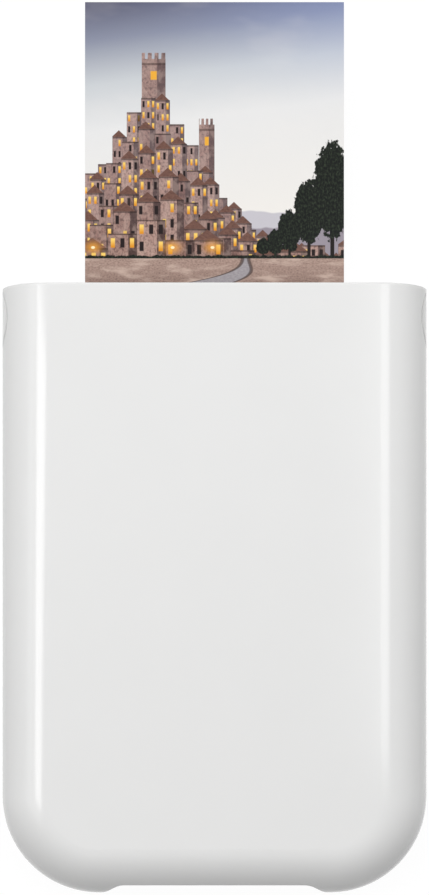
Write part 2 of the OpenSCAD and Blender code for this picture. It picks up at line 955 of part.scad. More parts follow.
// Contact blade of the socket on its moulded base
module usb_tongue() {
  y1 = dock_y + usb_l;
  color("dimgray") translate([usb_x, 0, dock_z]) {
    along_y(dock_y + usb_blade_in, y1) translate([0, usb_blade_up])
      section(usb_blade[0], usb_blade[1], slack);
    along_y(y1 - usb_blade_in, y1)
      section(usb_w - 2 * usb_t - 2 * eps, usb_h - 2 * usb_t - 2 * eps, usb_corner - slack);
  }
}

// ---------------------------------------------------------------- paper and tray

module chassis() {
  y0 = pickup_at[0] - pickup_r - window_gap;
  y1 = pickup_at[0] + pickup_r + window_gap;
  color("lightgray") difference() {
    union() {
      intersection() {
        slab(wall + seam + deck_side, head_y);
        block([-deck_x, deck_x], [deck_y0, deck_y1], [deck_z, floor_z]);
      }
      block([-rail_out, rail_out], [deck_y1 - 1, floor_y1], [deck_z, floor_z]);
      block_pair([rail_out - rail_t, rail_out], [deck_y0, gate_y + gate_t], [deck_z, rail_top]);
      block_pair(stop_x, [stop_y - stop_t, deck_y0 + 1], [deck_z, floor_z]);
      block_pair(stop_x, [stop_y - stop_t, stop_y], [deck_z, rail_top]);
      block([-rail_out, rail_out], [gate_y, gate_y + gate_t], [stack_z + gate_lift, rail_top]);
    }
    block([-window_x, window_x], [y0, y1], [0, far]);
    both_sides() for (p = post_at) post(p, screw_r + slack, 0, far);
    both_sides() for (p = post_at) post(p, screw_head_r + slack, floor_z - sunk, far);
    both_sides() bar(pickup_at, pickup_shaft_r + pickup_flange + slack, plate_in - screw_r, far);
  }
}

module chassis_screws() {
  color("silver") both_sides() for (p = post_at)
    translate([p[0], p[1], floor_z - sunk]) screw(screw_r, screw_l);
}

module paper_stack() {
  color("white") block([-paper_w / 2, paper_w / 2], [stack_head_y - paper_l, stack_head_y],
                       [stack_z, stack_top]);
}

module printed_sheet() {
  y1 = head_y + print_out;
  color("lightsteelblue")
    block([-paper_w / 2, paper_w / 2], [y1 - paper_l, y1], [paper_z, paper_top]);
}

// Steel plate that presses the stack down on the pick-up roller
module pressure_plate() {
  top = hook_z + hook_nose + hook_play[1] + hook_frame;
  slot_x = hook_w + hook_side;
  color("silver") difference() {
    union() {
      block([-press_x, press_x], press_y, [press_z, press_z + press_t]);
      block_pair([press_x - press_t, press_x], press_y, [press_z, press_z + press_lip]);
      block([-press_end_w, press_end_w], [press_y[1] - press_t, press_y[1]], [press_z, top]);
      block([-press_end_w, press_end_w], [press_y[0], press_y[0] + press_t], [press_z, top]);
    }
    block([-slot_x, slot_x], [press_y[0] - 1, press_y[1] + 1],
          [hook_z - hook_play[0], hook_z + hook_nose + hook_play[1]]);
  }
}

module pressure_springs() {
  low = press_z + press_t;
  color("silver") for (x = [-press_spring_x, press_spring_x], y = press_spring_y)
    translate([x, y, low])
      coil(press_spring_r, spring_wire, inner_z - low, press_spring_turns);
}

module separation_pad() {
  y = gate_y + gate_t;
  color("saddlebrown") block([-pad_half, pad_half], [y, y + pad_t], [stack_z, stack_z + pad_h]);
}

// ---------------------------------------------------------------- rollers

// A shaft that runs from the gears on the left to just outside the right side plate
module roller_shaft(at, r) {
  color("silver") bar(at, r, gear_end, plate_out + shaft_end);
}

// Equal tyres on a shaft, centred on the given places across the paper
module tyres(at, r, bore, places, w) {
  for (x = places) ring(at, r, bore, x - w / 2, x + w / 2);
}

module pickup_shaft() {
  roller_shaft(pickup_at, pickup_shaft_r);
}

module pickup_tyres() {
  color("darkslategray")
    tyres(pickup_at, pickup_r, pickup_shaft_r, pickup_tyre_x, pickup_tyre_w);
}

module platen_shaft() {
  roller_shaft(platen_at, platen_shaft_r);
}

module platen_rubber() {
  color("darkslategray") ring(platen_at, platen_r, platen_shaft_r, -roller_half, roller_half);
}

module exit_shaft() {
  roller_shaft(exit_at, exit_shaft_r);
}

module exit_tyres() {
  color("darkslategray") tyres(exit_at, exit_r, exit_shaft_r, exit_tyre_x, exit_tyre_w);
}

module pinch_shaft() {
  color("silver") bar(pinch_at, pinch_shaft_r, -plate_out + fit, plate_out - fit);
}

module pinch_rollers() {
  color("lightgray") tyres(pinch_at, pinch_r, pinch_shaft_r, exit_tyre_x, exit_tyre_w);
}

// Flanged bushes that carry a shaft in both side plates
module bushes(at, shaft_r, flange) {
  color("ivory") both_sides() difference() {
    union() {
      bar(at, shaft_r + bush_t, plate_in, plate_out);
      bar(at, shaft_r + flange, plate_in - flange_t, plate_in);
    }
    bar(at, shaft_r + run, 0, far);
  }
}

module platen_bushes() {
  bushes(platen_at, platen_shaft_r, platen_flange);
}

module exit_bushes() {
  bushes(exit_at, exit_shaft_r, exit_flange);
}

module pickup_bushes() {
  bushes(pickup_at, pickup_shaft_r, pickup_flange);
}

// Leaf springs from the bridge that press the pinch shaft down
module pinch_springs() {
  y0 = bridge_y[1];
  y1 = pinch_at[0];
  high = bridge_z + 2 * leaf_t;
  low = pinch_at[1] + pinch_shaft_r + eps;
  outline = [
    [y0, high], [y0 + leaf_foot + slack, high], [y1 - leaf_foot, low + leaf_t],
    [y1 + leaf_toe, low + leaf_t], [y1 + leaf_toe, low], [y1 - leaf_foot - fit, low],
    [y0 + leaf_foot, high - leaf_t], [y0, high - leaf_t]
  ];
  color("silver") both_sides() along_x(leaf_x[0], leaf_x[1]) polygon(outline);
}

// ---------------------------------------------------------------- frame

// Outline of a side plate in Y and Z
function plate_outline() = [
  [plate_y0, plate_z0], [plate_y1, plate_z0], [plate_y1, plate_top - plate_chamfer[1]],
  [plate_y1 - plate_chamfer[0], plate_top], [pivot_at[0] - 3 * pivot_r, plate_top],
  [gate_y - plate_slope, plate_low_top], [plate_y0, plate_low_top]
];

// A side plate on the left (side = -1) or the right (side = 1)
module side_plate(side) {
  x0 = side > 0 ? plate_in : -plate_out;
  x1 = x0 + plate_t;
  color("silver") difference() {
    union() {
      along_x(x0, x1) polygon(plate_outline());
      mirror([side < 0 ? 1 : 0, 0, 0]) for (y = foot_y)
        block([plate_in, foot_reach], [y - foot_l / 2, y + foot_l / 2],
              [plate_z0, plate_z0 + plate_t]);
    }
    plate_bores(x0 - 1, x1 + 1);
    for (y = foot_y) post([side * foot_x, y], screw_r + hole_play, 0, far);
    if (side < 0) left_bores(x0 - 1, x1 + 1);
  }
}

module plate_bores(x0, x1) {
  bar(platen_at, platen_shaft_r + bush_t, x0, x1);
  bar(exit_at, exit_shaft_r + bush_t, x0, x1);
  bar(pickup_at, pickup_shaft_r + bush_t, x0, x1);
  bar(pinch_at, pinch_shaft_r + run, x0, x1);
  bar(pivot_at, pivot_r, x0, x1);
}

module left_bores(x0, x1) {
  bar(motor_at, motor_neck_r + run, x0, x1);
  bar(exit_idler_at, axle_r, x0, x1);
  for (p = spacer_at) bar(p, spacer_screw_r, x0, x1);
}

module side_plate_left() {
  side_plate(-1);
}

module side_plate_right() {
  side_plate(1);
}

// Cross channel between the side plates that the head springs push against
module spring_bridge() {
  lip_z = [bridge_z - bridge_t, plate_top];
  color("silver") union() {
    block([-plate_in, plate_in], bridge_y, [bridge_z, plate_top]);
    block([-plate_in, plate_in], [bridge_y[1] - bridge_lip, bridge_y[1]], lip_z);
    block([-plate_in, plate_in], [bridge_y[0], bridge_y[0] + bridge_lip], lip_z);
  }
}

// Strip that carries the sheet from the platen to the exit roller
module exit_guide() {
  y0 = platen_at[0] + platen_r - slack;
  y1 = exit_at[0] - exit_r - slack;
  color("dimgray") block([-plate_in, plate_in], [y0, y1], [floor_z - guide_t, floor_z]);
}

// Screws of the side plates' feet and of the gear plate's spacers
module frame_screws() {
  foot_top = plate_z0 + plate_t;
  color("silver") {
    both_sides() for (y = foot_y)
      translate([foot_x, y, foot_top]) screw(screw_r, foot_top - wall + screw_tip);
    for (p = spacer_at)
      translate([gear_plate_x - gear_plate_t, p[0], p[1]]) rotate([0, -90, 0])
        screw(spacer_screw_r, gear_plate_t - gear_plate_x - plate_in);
  }
}

// ---------------------------------------------------------------- print head

// Carrier of the head with two cheeks that swing on the pivot rod
module head_bracket() {
  y0 = heat_y - sink_l / 2;
  color("silver") difference() {
    union() {
      block([-bracket_x, bracket_x], [y0 - bracket_tail, y0 + sink_l], [bracket_z, bracket_top]);
      both_sides() block([bracket_x - cheek_t, bracket_x], [pivot_at[0], y0 - bracket_gap],
                         [pivot_at[1] - cheek_t, bracket_top]);
      both_sides() bar(pivot_at, 2 * pivot_r, bracket_x - cheek_t, bracket_x);
    }
    bar(pivot_at, pivot_r + run, -far, far);
    for (x = head_screw_x) post([x, heat_y], screw_r, 0, far);
  }
}

module head_pivot_rod() {
  color("silver") bar(pivot_at, pivot_r, -plate_out, plate_out);
}

module heat_sink() {
  color("gray") difference() {
    block([-head_x, head_x], [heat_y - sink_l / 2, heat_y + sink_l / 2], [sink_z, bracket_z]);
    for (x = head_screw_x) post([x, heat_y], screw_r, sink_z + sink_floor, far);
  }
}

module thermal_head() {
  color("wheat") block([-head_x, head_x], [heat_y - ceramic_half, heat_y + ceramic_half],
                       [ceramic_z, sink_z]);
}

module head_springs() {
  color("silver") for (x = head_spring_x)
    translate([x, heat_y, bracket_top])
      coil(head_spring_r, spring_wire, bridge_z - bracket_top, head_spring_turns);
}

module head_screws() {
  color("silver") for (x = head_screw_x)
    translate([x, heat_y, bracket_top]) screw(screw_r, bracket_t + sink_t - head_screw_end);
}

// ---------------------------------------------------------------- drive

// Motor can with the boss of its rear bearing
module feed_motor() {
  x0 = -plate_in + gearbox_l;
  x1 = x0 + motor_l;
  color("silver") {
    bar(motor_at, motor_r, x0, x1);
    bar(motor_at, motor_cap[0], x1 - eps, x1 + motor_cap[1]);
  }
}

module motor_gearbox() {
  x0 = -plate_in;
  color("goldenrod") {
    bar(motor_at, motor_r, x0, x0 + gearbox_l);
    ring(motor_at, motor_neck_r, motor_shaft_r + run, -plate_out, x0);
  }
}

// Pinion with the short output shaft that it is pressed on
module motor_pinion() {
  color("goldenrod") {
    along_x(plane_1 - gear_t, plane_1) translate(motor_at) rotate(pinion_turn)
      polygon(gear_outline(pinion_n));
    bar(motor_at, motor_shaft_r, plane_1 - eps, -plate_in - fit);
  }
}

// Large and small wheel in one piece
module reduction_gear() {
  hub_r = reduction_small_n * gear_m / 2 - hub_in;
  color("ivory") {
    gear(reduction_at, reduction_n, reduction_turn, axle_r + run, plane_1);
    ring(reduction_at, hub_r, axle_r + run, plane_2 - eps, plane_1 - gear_t + eps);
    gear(reduction_at, reduction_small_n, reduction_turn, axle_r + run, plane_2);
  }
}

module transfer_gear() {
  color("ivory") gear(transfer_at, transfer_n, transfer_turn, axle_r + run, plane_2);
}

module platen_gear() {
  color("ivory") gear(platen_at, platen_n, platen_turn, platen_shaft_r, plane_2);
}

module exit_idler() {
  color("ivory") gear(exit_idler_at, exit_idler_n, exit_idler_turn, axle_r + run, plane_2);
}

module exit_gear() {
  color("ivory") gear(exit_at, exit_n, exit_turn, exit_shaft_r, plane_2);
}

module pickup_idler() {
  color("ivory")
    gear(pickup_idler_at, pickup_idler_n, pickup_idler_turn, axle_r + run, plane_2);
}

module pickup_gear() {
  color("ivory") gear(pickup_at, pickup_n, pickup_turn, pickup_shaft_r, plane_2);
}

// Fixed pins that the loose gears turn on
module gear_axles() {
  stud = gear_plate_x - gear_plate_t;
  color("silver") {
    bar(reduction_at, axle_r, stud, plane_1 + fit);
    bar(exit_idler_at, axle_r, gear_end, -plate_in);
    bar(transfer_at, axle_r, stud, plane_2 + fit);
    bar(pickup_idler_at, axle_r, stud, plane_2 + fit);
  }
}

// Outer plate of the gear train, with its two spacers
module gear_plate() {
  x0 = gear_plate_x - gear_plate_t;
  tail = spacer_at[0];
  head = spacer_at[1];
  rim = spacer_r + axle_r;
  outline = [
    [tail[0] - rim, tail[1] + rim], [tail[0] - rim, tail[1] - 2 * spacer_r],
    [pickup_idler_at[0] - rim, pickup_idler_at[1] - rim - axle_r],
    [reduction_at[0] + rim, platen_at[1] - axle_r], [head[0], transfer_at[1] - rim],
    [head[0] + rim, head[1] - rim - axle_r], [head[0] + rim, head[1] + rim],
    [reduction_at[0], head[1] + rim]
  ];
  color("silver") difference() {
    union() {
      along_x(x0, gear_plate_x) polygon(outline);
      for (p = spacer_at) bar(p, spacer_r, x0, -plate_out);
    }
    for (p = spacer_at) bar(p, spacer_screw_r, -far, 0);
    for (p = [reduction_at, transfer_at, pickup_idler_at]) bar(p, axle_r, -far, 0);
  }
}

// ---------------------------------------------------------------- electronics

module battery() {
  color("steelblue") block([-battery_half, battery_half], [battery_y0, battery_y1],
                           [wall + run, wall + battery_t]);
}

module main_board() {
  color("darkgreen") difference() {
    intersection() {
      slab(wall + board_side, head_y);
      block([-board_w / 2, board_w / 2], [board_y0, board_y0 + board_l], [board_z, board_top]);
    }
    both_sides() for (p = board_post_at) post(p, screw_r + hole_play, 0, far);
  }
}

module board_screws() {
  color("silver") both_sides() for (p = board_post_at)
    translate([p[0], p[1], board_top]) screw(screw_r, board_t + board_screw_in);
}

// Chips, inductor and shield can, and the lamp behind the light pipe
module board_chips() {
  color("black") {
    for (c = chips)
      translate([c[0], board_y0 + c[1], board_top]) cube([c[2], c[3], c[4]]);
    translate([led_x - lamp[0] / 2, board_y0, board_top]) cube(lamp);
  }
}

// Sockets for the battery's plug and the head's flex, with the battery's two wires
module board_connectors() {
  y0 = board_y0 + board_l - socket_in;
  y1 = y0 + socket_l;
  x = (plug_x[0] + plug_x[1]) / 2;
  color("ivory") {
    difference() {
      block(plug_x, [y0, y1], [board_top, board_top + plug_h]);
      for (s = [-1, 1]) battery_wire(x + s * wire_gap / 2, y0 + 1, battery_y0 + 1);
    }
    difference() {
      block(flex_x, [y0, y1], [board_top, board_top + flex_h]);
      block([flex_x[0] + flex_wall, flex_x[1] - flex_wall], [y1 - flex_wall, y1 + 1],
            [board_top + flex_mouth[0], board_top + flex_mouth[1]]);
    }
    for (s = [-1, 1]) battery_wire(x + s * wire_gap / 2, y0 + 1, battery_y0 - eps);
  }
}

module battery_wire(x, y0, y1) {
  translate([x, y0, board_top + wire_up]) rotate([-90, 0, 0])
    cylinder(r = wire_r, h = y1 - y0);
}

// Key switches behind the power button and the reset hole
module key_switches() {
  stem_y = dock_in_y + fit + button_flange_t + button_travel + key_gap;
  color("dimgray") for (k = [[button_x, stem_y], [reset_x, stem_y + reset_gap]]) {
    block([k[0] - key_half, k[0] + key_half], [board_y0, board_y0 + key_half],
          [board_top, dock_z + key_up]);
    translate([k[0], board_y0 + fit, dock_z]) rotate([90, 0, 0])
      cylinder(r = key_stem_r, h = board_y0 + fit - k[1]);
  }
}

module cover_magnet() {
  color("silver") post(magnet_at, magnet_r, magnet_z, magnet_z + magnet_h);
}

// Magnetic sensor under the cover's magnet and paper sensor before the platen
module sensors() {
  w = cover_sensor[0] / 2;
  l = cover_sensor[1] / 2;
  x = paper_sensor_x;
  y = floor_y1 - paper_sensor_in;
  color("black") {
    block([magnet_at[0] - w, magnet_at[0] + w], [magnet_at[1] - l, magnet_at[1] + l],
          [floor_z, floor_z + cover_sensor[2]]);
    block([x, x + paper_sensor[0]], [y, y + paper_sensor[1]], [deck_z - paper_sensor[2], deck_z]);
  }
}

// ---------------------------------------------------------------- nodes

bottom_case();
top_cover();
exit_bezel();
hinge_pins();
power_button();
led_light_pipe();
usb_shell();
usb_tongue();
chassis();
chassis_screws();
paper_stack();
printed_sheet();
pressure_plate();
pressure_springs();
separation_pad();
pickup_shaft();
pickup_tyres();
pickup_gear();
pickup_bushes();
platen_shaft();
platen_rubber();
platen_gear();
platen_bushes();
exit_shaft();
exit_tyres();
exit_gear();
exit_bushes();
pinch_shaft();
pinch_rollers();
pinch_springs();
side_plate_left();
side_plate_right();
spring_bridge();
exit_guide();
head_bracket();
head_pivot_rod();
heat_sink();
thermal_head();
head_springs();
head_screws();
feed_motor();
motor_gearbox();
motor_pinion();
reduction_gear();
transfer_gear();
pickup_idler();
exit_idler();
gear_axles();
gear_plate();
frame_screws();
battery();
board_connectors();
main_board();
board_chips();
key_switches();
board_screws();
cover_magnet();
sensors();
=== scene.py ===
"""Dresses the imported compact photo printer: materials, printed picture, floor, lamps, camera."""
import math

import bpy
from mathutils import Matrix, Vector

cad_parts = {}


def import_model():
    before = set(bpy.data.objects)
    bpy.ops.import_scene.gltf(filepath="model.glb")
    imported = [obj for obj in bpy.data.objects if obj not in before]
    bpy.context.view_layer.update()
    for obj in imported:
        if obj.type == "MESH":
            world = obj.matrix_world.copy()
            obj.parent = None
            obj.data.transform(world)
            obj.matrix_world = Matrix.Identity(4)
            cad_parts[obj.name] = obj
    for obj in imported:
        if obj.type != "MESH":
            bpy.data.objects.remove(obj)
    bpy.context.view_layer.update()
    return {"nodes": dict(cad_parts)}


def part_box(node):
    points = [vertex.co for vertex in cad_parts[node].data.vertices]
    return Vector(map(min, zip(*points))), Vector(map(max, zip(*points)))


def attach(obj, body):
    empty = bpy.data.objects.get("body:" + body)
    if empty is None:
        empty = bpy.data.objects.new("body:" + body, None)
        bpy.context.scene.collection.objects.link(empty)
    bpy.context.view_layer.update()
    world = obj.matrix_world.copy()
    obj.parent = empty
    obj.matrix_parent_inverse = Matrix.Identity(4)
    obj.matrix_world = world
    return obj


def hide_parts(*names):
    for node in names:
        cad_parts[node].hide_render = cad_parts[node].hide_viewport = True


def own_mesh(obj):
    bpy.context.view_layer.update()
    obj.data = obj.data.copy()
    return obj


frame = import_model()
NODES = frame["nodes"]
MM = 0.001

SHEET_LOW, SHEET_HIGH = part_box("printed_sheet")
SHEET_W = SHEET_HIGH.x - SHEET_LOW.x
SHEET_L = SHEET_HIGH.y - SHEET_LOW.y
SHEET_T = SHEET_HIGH.z - SHEET_LOW.z


# ------------------------------------------------------------------ node graphs

BEVEL_SAMPLES = 6


class Graph:
    """The nodes of a material or of the world, with short calls to make and join them."""

    def __init__(self, owner, output):
        owner.use_nodes = True
        self.tree = owner.node_tree
        self.tree.nodes.clear()
        self.out = self.node(output)

    def put(self, socket, value):
        """Links a socket to another node's output, or sets it to a plain number or colour."""
        if isinstance(value, bpy.types.NodeSocket):
            self.tree.links.new(value, socket)
        elif socket.type == "RGBA":
            socket.default_value = (*value, 1)
        else:
            socket.default_value = value

    def node(self, kind, settings=None, **inputs):
        """A new node, with its settings and inputs by name; a _ stands for a space."""
        made = self.tree.nodes.new("ShaderNode" + kind)
        for key, value in (settings or {}).items():
            setattr(made, key, value)
        for key, value in inputs.items():
            self.put(made.inputs[key.replace("_", " ")], value)
        return made

    def math(self, operation, *values):
        """The result of one operation of Blender's math node."""
        made = self.node("Math", {"operation": operation})
        for socket, value in zip(made.inputs, values):
            self.put(socket, value)
        return made.outputs[0]

    def plus(self, a, b):
        return self.math("ADD", a, b)

    def less(self, a, b):
        return self.math("SUBTRACT", a, b)

    def times(self, a, b):
        return self.math("MULTIPLY", a, b)

    def line(self, value, slope, start):
        """The value times slope, plus start."""
        return self.math("MULTIPLY_ADD", value, slope, start)

    def around(self, factor, middle, swing):
        """Goes from middle - swing to middle + swing as the factor goes from 0 to 1."""
        return self.line(factor, 2 * swing, middle - swing)

    def apart(self, a, b):
        """How far apart two numbers are."""
        return self.math("ABSOLUTE", self.less(a, b))

    def rise(self, value, start, end):
        """0 up to the start and 1 from the end on, with a smooth rise. The end may be the
        smaller of the two, which makes it a fall."""
        made = self.node("MapRange", {"interpolation_type": "SMOOTHSTEP"})
        for socket, number in zip(made.inputs, (value, start, end)):
            self.put(socket, number)
        return made.outputs[0]

    def near(self, a, b, far, close):
        """1 where two numbers are less than close apart, and 0 where they are over far apart."""
        return self.rise(self.apart(a, b), far, close)

    def below(self, value, edge, soft=0.001):
        """1 where the value is below the edge and 0 where it is above, softened on both sides."""
        return self.rise(self.less(edge, value), -soft, soft)

    def mix(self, factor, a, b):
        """Colour a where the factor is 0, and colour b where it is 1."""
        made = self.node("Mix", {"data_type": "RGBA", "blend_type": "MIX"})
        factor_in, first_colour, second_colour, colour_out = 0, 6, 7, 2
        self.put(made.inputs[factor_in], factor)
        self.put(made.inputs[first_colour], a)
        self.put(made.inputs[second_colour], b)
        return made.outputs[colour_out]

    def ramp(self, factor, stops):
        """Colours at places from 0 to 1, blended between them."""
        made = self.node("ValToRGB", Fac=factor)
        elements = made.color_ramp.elements
        while len(elements) < len(stops):
            elements.new(1.0)
        for element, (place, colour) in zip(elements, stops):
            element.position = place
            element.color = (*colour, 1)
        return made.outputs[0]

    def end(self, shader):
        """Makes a shader node the graph's result."""
        self.put(self.out.inputs["Surface"], shader.outputs[0])


class Surface(Graph):
    """A material under construction."""

    def __init__(self, name):
        self.material = bpy.data.materials.new(name)
        super().__init__(self.material, "OutputMaterial")
        self.coord = self.node("TexCoord").outputs

    def along(self, axis, low, length):
        """How far a point is along one axis: 0 at low, and 1 at low + length."""
        split = self.node("SeparateXYZ", Vector=self.coord["Object"])
        return self.line(split.outputs[axis], 1 / length, -low / length)

    def scaled(self, scale, shift=(0, 0, 0)):
        """The object's coordinates in metres, times scale, plus shift."""
        return self.node("Mapping", Vector=self.coord["Object"], Scale=scale,
                         Location=shift).outputs[0]

    def noise(self, size, detail=2.0, stretch=(1, 1, 1), rough=0.5):
        """Noise with features of about the given size in metres, stretched along the axes."""
        place = self.scaled([1 / (size * times) for times in stretch])
        return self.node("TexNoise", Vector=place, Scale=1.0, Detail=detail,
                         Roughness=rough).outputs["Fac"]

    def vary(self, colour, factor, share):
        """The colour, made darker and lighter by the share as the factor goes from 0 to 1."""
        dark = tuple(level * (1 - share) for level in colour)
        light = tuple(min(1, level * (1 + share)) for level in colour)
        return self.mix(factor, dark, light)

    def bump(self, height, depth, **inputs):
        """A normal for a surface whose height from 0 to 1 stands for depth in metres."""
        return self.node("Bump", Height=height, Strength=1.0, Distance=depth, **inputs).outputs[0]

    def bump_on_soft_edges(self, height, depth, radius):
        """The bump, on edges that look rounded to the radius."""
        rounded = self.node("Bevel", {"samples": BEVEL_SAMPLES}, Radius=radius).outputs[0]
        return self.bump(height, depth, Normal=rounded)

    def shade(self, **inputs):
        """Ends the material with one Principled shader."""
        self.end(self.node("BsdfPrincipled", **inputs))
        return self.material


# ------------------------------------------------------------------ kinds of surface

def moulded(name, colour, rough, depth=0.002 * MM, edge=0.25 * MM):
    """Injection-moulded plastic with a fine grain and rounded edges."""
    g = Surface(name)
    fine = g.noise(size=0.25 * MM, detail=3.0)
    broad = g.noise(size=14 * MM)
    return g.shade(Base_Color=g.vary(colour, broad, share=0.012),
                   Roughness=g.around(fine, rough, swing=0.04),
                   Normal=g.bump_on_soft_edges(fine, depth, edge))


def brushed(name, colour, rough, stretch=(1, 1, 1)):
    """Rolled or turned metal, with fine lines along the axes that stretch lengthens."""
    g = Surface(name)
    lines = g.noise(size=0.12 * MM, detail=3.0, stretch=stretch)
    stain = g.noise(size=5 * MM, detail=3.0)
    return g.shade(Base_Color=g.vary(colour, stain, share=0.07), Metallic=1.0,
                   Roughness=g.around(lines, rough, swing=0.08),
                   Normal=g.bump_on_soft_edges(lines, depth=0.0015 * MM, radius=0.12 * MM))


def rubber(name, colour, rough):
    """Ground rubber with a powdery, slightly uneven skin."""
    g = Surface(name)
    fine = g.noise(size=0.09 * MM, detail=4.0)
    worn = g.noise(size=3 * MM, detail=3.0)
    return g.shade(Base_Color=g.vary(colour, fine, share=0.22),
                   Roughness=g.around(worn, rough, swing=0.06),
                   Normal=g.bump(fine, depth=0.012 * MM))


def board(name, mask, track, plating):
    """Circuit board: solder mask over copper tracks, with plated holes between them."""
    g = Surface(name)
    pitch = 1.3 * MM
    place = g.scaled((1 / pitch, 1 / pitch, 0))
    cells = g.node("TexVoronoi", {"distance": "MANHATTAN", "feature": "F1"},
                   Vector=place, Scale=1.0, Randomness=0.35)
    waves = g.node("TexWave", {"wave_type": "BANDS", "bands_direction": "DIAGONAL"},
                   Vector=place, Scale=0.9, Distortion=2.4, Detail=0.0)
    raised = g.rise(waves.outputs["Fac"], start=0.55, end=0.6)
    hole = g.rise(cells.outputs["Distance"], start=0.14, end=0.11)
    return g.shade(Base_Color=g.mix(hole, g.mix(raised, mask, track), plating),
                   Roughness=0.34, Normal=g.bump(raised, depth=0.03 * MM),
                   Metallic=g.times(hole, 0.9), Coat_Weight=0.4)


def chip(name, colour):
    """Moulded epoxy with a satin, faintly mottled face."""
    g = Surface(name)
    fine = g.noise(size=0.07 * MM, detail=4.0)
    return g.shade(Base_Color=g.vary(colour, fine, share=0.3), Roughness=0.5,
                   Normal=g.bump_on_soft_edges(fine, depth=0.006 * MM, radius=0.1 * MM))


def foil(name, colour):
    """Battery pouch of metallic film with shallow creases."""
    g = Surface(name)
    crease = g.noise(size=4 * MM, detail=5.0, stretch=(1, 2.5, 1), rough=0.62)
    return g.shade(Base_Color=g.vary(colour, crease, share=0.1), Metallic=0.35, Roughness=0.34,
                   Normal=g.bump(crease, depth=0.12 * MM))


def paper(name, face, seam):
    """Stack of glossy sheets, with painted shade in the gap between each two sheets on its edges."""
    g = Surface(name)
    stack_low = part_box("paper_stack")[0]
    layer = g.math("FRACT", g.along(2, stack_low.z, SHEET_T))
    flat = g.node("NewGeometry").outputs["Normal"]
    up = g.math("ABSOLUTE", g.node("SeparateXYZ", Vector=flat).outputs[2])
    # Painted shade: a grey line on the side faces where each sheet meets the next
    line = g.times(g.rise(layer, start=0.16, end=0.04), g.less(1.0, up))
    fibre = g.noise(size=0.3 * MM, detail=4.0)
    return g.shade(Base_Color=g.mix(line, g.vary(face, fibre, share=0.015), seam),
                   Roughness=0.38, Normal=g.bump(fibre, depth=0.002 * MM))


def steel_coil(name, colour):
    """Drawn spring wire."""
    g = Surface(name)
    fine = g.noise(size=0.2 * MM)
    return g.shade(Base_Color=g.vary(colour, fine, share=0.1), Metallic=1.0,
                   Roughness=g.around(fine, middle=0.29, swing=0.07))


def light_guide(name, colour):
    """Frosted, partly clear plastic."""
    g = Surface(name)
    fine = g.noise(size=0.15 * MM)
    return g.shade(Base_Color=g.vary(colour, fine, share=0.03), Roughness=0.32,
                   Transmission_Weight=0.55, IOR=1.49, Normal=g.bump(fine, depth=0.004 * MM))


# ------------------------------------------------------------------ the printed picture

# The picture is an invented hill town at dusk. Its u goes from 0 at the left edge to 1 at the
# right one, and its v from 0 at the foot to 1 at the top, and sizes in it are in u or in v.

def linear(code):
    """A colour written as six hexadecimal digits, as linear red, green and blue."""
    levels = [int(code[k:k + 2], 16) / 255 for k in (0, 2, 4)]
    return tuple(c / 12.92 if c <= 0.04045 else ((c + 0.055) / 1.055) ** 2.4 for c in levels)


INKS = {name: linear(code) for name, code in {
    "blue_sky": "849cdc", "cloud": "f7f1ec", "far_hills": "c9c6cd", "near_hills": "9a929c",
    "dirt": "3f2e2b", "lime": "c9aea2", "haze": "b3a6ad",
    "dark_tile": "3e2d2a", "pale_tile": "8f675a", "eave": "2f2322", "gap": "2b2020",
    "sunny_tower": "a5847a", "shaded_tower": "5f4541", "belt": "3c2c2b", "tower_light": "f0b040",
    "dark_wall": "7d5a52", "pale_wall": "bb998e", "shaded_wall": "543f3c",
    "unlit_pane": "231a1b", "pane_foot": "df8f1f", "pane_head": "ffd873",
    "lamp_halo": "f3a83a", "lamp_core": "fff2c4",
    "trunk": "1d1817", "dark_leaf": "0d110f", "pale_leaf": "343d2f",
    "far_sand": "b59a8e", "near_sand": "8a7168", "dark_sand": "5a4740", "pale_sand": "c9b1a4",
    "dark_paving": "807a7f", "pale_paving": "b9b3b6", "kerb": "4b3c38",
    "bare_paper": "e9e8e4",
}.items()}

# The sky's colours from low down to the top
SKY = tuple((place, linear(code)) for place, code in (
    (0.0, "f3efe9"), (0.50, "e9e9e9"), (0.68, "cdd1d5"), (0.85, "8c91a4"), (1.0, "56576e")))

# Ranges of hills behind the town: mean height, swing to each side, bumps across, seed, ink
RANGES = ((0.44, 0.035, 3.0, 1.7, "far_hills"), (0.40, 0.04, 5.0, 6.3, "near_hills"))

# The town's hill: where its top is, and how far its sides reach
HILL_TOP, HILL_LEFT, HILL_RIGHT = 0.27, 0.70, 0.60

# Terraces from the back of the hill to its front: houses across, seed, and how far the hill
# would lift them at a height of 1
TERRACES = (
    (18, 3.1, 0.560), (16, 7.7, 0.465), (15, 12.9, 0.370), (13, 21.3, 0.276),
    (11, 33.8, 0.182), (9, 41.2, 0.080),
)
STREET_V, GROUND_V = 0.335, 0.318

# Flat-topped towers behind the town: centre, half width, top
TOWERS = ((0.265, 0.046, 0.865), (0.47, 0.030, 0.690))

# Crowns of the trees: centre, height of the centre, half width, half height
CROWNS = (
    (0.955, 0.500, 0.075, 0.130), (0.865, 0.440, 0.060, 0.085), (0.790, 0.392, 0.046, 0.056),
    (0.735, 0.362, 0.034, 0.034), (0.688, 0.350, 0.026, 0.022),
)


def grain(g, count, seed, flat=1.0):
    """Noise with about count grains across; a flat over 1 makes them low, and 0 makes stripes."""
    x_scale, y_scale = count / SHEET_W, count * flat / SHEET_L
    place = g.scaled((x_scale, y_scale, 0),
                     shift=(seed - SHEET_LOW.x * x_scale, -SHEET_LOW.y * y_scale, 0))
    return g.node("TexNoise", Vector=place, Scale=1.0, Detail=3.0, Roughness=0.6).outputs["Fac"]


def chance(g, number):
    """A random number from 0 to 1 for each whole number."""
    return g.node("TexWhiteNoise", {"noise_dimensions": "1D"}, W=number).outputs["Value"]


